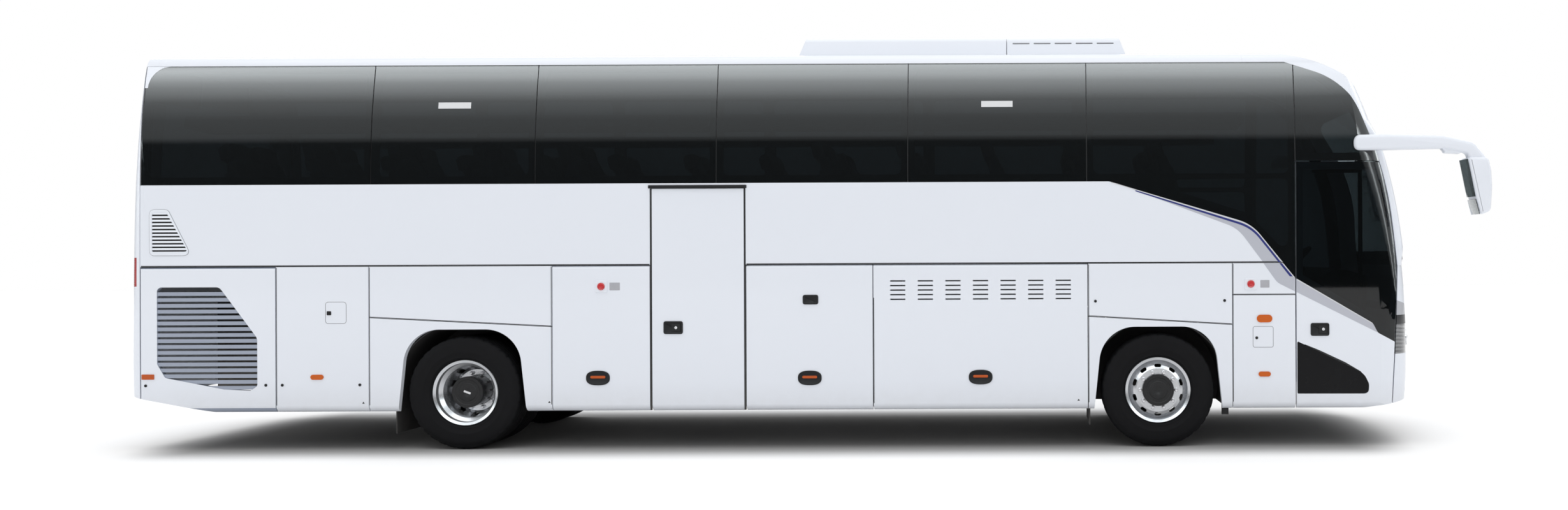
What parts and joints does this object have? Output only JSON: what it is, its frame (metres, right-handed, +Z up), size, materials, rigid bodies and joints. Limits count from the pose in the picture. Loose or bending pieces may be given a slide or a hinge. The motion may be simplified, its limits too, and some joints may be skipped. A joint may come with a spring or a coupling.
{
  "type": "coach bus",
  "caption": "High-deck touring coach with twin rear wheels, outward-swinging passenger doors, luggage flaps along both sides and a roof unit.",
  "frame": {"origin": "on the ground under the middle of the overall box, mirrors included", "axes": "+X forward, +Y to the coach's left, +Z up"},
  "size_m": [12.5694, 2.65, 3.8448],
  "materials": {
    "white_paint": "gloss white paint on sheet aluminium",
    "moulded_white": "gloss white moulding",
    "glass": "dark tinted",
    "dark_frame": "black painted section",
    "underframe": "dark painted section",
    "floor": "covered plywood",
    "lamp": "clear lens",
    "red_lamp": "red lens",
    "amber_lamp": "amber lens",
    "mirror": "mirror glass",
    "black_plastic": "black",
    "seat_cover": "woven cover",
    "alloy": "polished",
    "tyre": "black",
    "axle_steel": "dark painted",
    "rubber": "black"
  },
  "bodies": {
    "body": {"frame": "underframe", "bulkheads": "underframe", "saloon_floor": "floor", "cab_floor": "floor", "entry_steps": "floor", "bay_floors": "floor", "waist_panels": "white_paint", "lower_panels": "white_paint", "roof": "moulded_white", "rear_wall": "moulded_white", "front_mask": "moulded_white", "bumper": "moulded_white", "front_pillars": "moulded_white", "windscreen": "glass", "side_windows": "glass", "rear_window": "glass", "window_frames": "dark_frame", "roof_unit": "moulded_white", "mirror_arms": "moulded_white", "mirror_glasses": "mirror", "headlamps": "lamp", "tail_lamps": "red_lamp", "side_lamps": "amber_lamp", "wipers": "black_plastic", "dashboard": "black_plastic", "seats": "seat_cover", "luggage_racks": "black_plastic", "door_brackets": "dark_frame", "front_axle": "axle_steel", "rear_axle": "axle_steel", "wheelhouses": "rubber", "engine": "axle_steel", "gas_cylinders": "moulded_white"},
    "knuckle_left": {"knuckle_left": "axle_steel"},
    "front_wheel_left": {"front_rim_left": "alloy", "front_tyre_left": "tyre"},
    "rear_wheels_left": {"rear_rims_left": "alloy", "rear_tyres_left": "tyre"},
    "knuckle_right": {"knuckle_right": "axle_steel"},
    "front_wheel_right": {"front_rim_right": "alloy", "front_tyre_right": "tyre"},
    "rear_wheels_right": {"rear_rims_right": "alloy", "rear_tyres_right": "tyre"},
    "front_door_arm": {"front_door_arm": "dark_frame"},
    "front_door": {"front_door_leaf": "moulded_white", "front_door_glass": "glass"},
    "mid_door_arm": {"mid_door_arm": "dark_frame"},
    "mid_door": {"mid_door_leaf": "white_paint"},
    "engine_flap_right": {"engine_flap_right": "white_paint"},
    "engine_flap_left": {"engine_flap_left": "white_paint"},
    "bay_flap_rear_right": {"bay_flap_rear_right": "white_paint"},
    "bay_flap_mid_right": {"bay_flap_mid_right": "white_paint"},
    "bay_flap_front_right": {"bay_flap_front_right": "white_paint"},
    "bay_flap_rear_left": {"bay_flap_rear_left": "white_paint"},
    "bay_flap_mid_left": {"bay_flap_mid_left": "white_paint"},
    "bay_flap_front_left": {"bay_flap_front_left": "white_paint"},
    "engine_lid": {"engine_lid": "white_paint"}
  },
  "joints": [
    {"name": "steer_left", "type": "hinge", "parent": "body", "child": "knuckle_left", "pos_m": [3.22, 0.915, 0.522], "axis": [0, 0, 1], "range_deg": [-45, 45]},
    {"name": "front_wheel_spin_left", "type": "hinge", "parent": "knuckle_left", "child": "front_wheel_left", "pos_m": [3.22, 1.093, 0.522], "axis": [0, 1, 0], "continuous": true},
    {"name": "rear_wheel_spin_left", "type": "hinge", "parent": "body", "child": "rear_wheels_left", "pos_m": [-3.18, 0.9255, 0.522], "axis": [0, 1, 0], "continuous": true},
    {"name": "steer_right", "type": "hinge", "parent": "body", "child": "knuckle_right", "pos_m": [3.22, -0.915, 0.522], "axis": [0, 0, 1], "range_deg": [-45, 45]},
    {"name": "front_wheel_spin_right", "type": "hinge", "parent": "knuckle_right", "child": "front_wheel_right", "pos_m": [3.22, -1.093, 0.522], "axis": [0, 1, 0], "continuous": true},
    {"name": "rear_wheel_spin_right", "type": "hinge", "parent": "body", "child": "rear_wheels_right", "pos_m": [-3.18, -0.9255, 0.522], "axis": [0, 1, 0], "continuous": true},
    {"name": "front_door_swing", "type": "hinge", "parent": "body", "child": "front_door_arm", "pos_m": [5.115, -1.13, 1], "axis": [0, 0, 1], "range_deg": [0, 140]},
    {"name": "front_door_follow", "type": "hinge", "parent": "front_door_arm", "child": "front_door", "pos_m": [4.685, -1.13, 1], "axis": [0, 0, 1], "range_deg": [-140, 0]},
    {"name": "mid_door_swing", "type": "hinge", "parent": "body", "child": "mid_door_arm", "pos_m": [-0.795, -1.13, 1], "axis": [0, 0, 1], "range_deg": [0, 140]},
    {"name": "mid_door_follow", "type": "hinge", "parent": "mid_door_arm", "child": "mid_door", "pos_m": [-1.225, -1.13, 1], "axis": [0, 0, 1], "range_deg": [-140, 0]},
    {"name": "engine_flap_right_hinge", "type": "hinge", "parent": "body", "child": "engine_flap_right", "pos_m": [-5.515, -1.252, 1.665], "axis": [1, 0, 0], "range_deg": [-95, 0]},
    {"name": "engine_flap_left_hinge", "type": "hinge", "parent": "body", "child": "engine_flap_left", "pos_m": [-5.515, 1.252, 1.665], "axis": [-1, 0, 0], "range_deg": [-95, 0]},
    {"name": "bay_flap_rear_right_hinge", "type": "hinge", "parent": "body", "child": "bay_flap_rear_right", "pos_m": [-1.901, -1.252, 1.665], "axis": [1, 0, 0], "range_deg": [-95, 0]},
    {"name": "bay_flap_mid_right_hinge", "type": "hinge", "parent": "body", "child": "bay_flap_mid_right", "pos_m": [0.014, -1.252, 1.665], "axis": [1, 0, 0], "range_deg": [-95, 0]},
    {"name": "bay_flap_front_right_hinge", "type": "hinge", "parent": "body", "child": "bay_flap_front_right", "pos_m": [1.586, -1.252, 1.665], "axis": [1, 0, 0], "range_deg": [-95, 0]},
    {"name": "bay_flap_rear_left_hinge", "type": "hinge", "parent": "body", "child": "bay_flap_rear_left", "pos_m": [-1.615, 1.252, 1.665], "axis": [-1, 0, 0], "range_deg": [-95, 0]},
    {"name": "bay_flap_mid_left_hinge", "type": "hinge", "parent": "body", "child": "bay_flap_mid_left", "pos_m": [-0.14, 1.252, 1.665], "axis": [-1, 0, 0], "range_deg": [-95, 0]},
    {"name": "bay_flap_front_left_hinge", "type": "hinge", "parent": "body", "child": "bay_flap_front_left", "pos_m": [1.586, 1.252, 1.665], "axis": [-1, 0, 0], "range_deg": [-95, 0]},
    {"name": "engine_lid_hinge", "type": "hinge", "parent": "body", "child": "engine_lid", "pos_m": [-6.254, 0, 1.457], "axis": [0, -1, 0], "range_deg": [-85, 0]}
  ],
  "couplings": [
    {"joint": "steer_right", "follows": "steer_left", "ratio": 1},
    {"joint": "front_door_follow", "follows": "front_door_swing", "ratio": -1},
    {"joint": "mid_door_follow", "follows": "mid_door_swing", "ratio": -1}
  ]
}
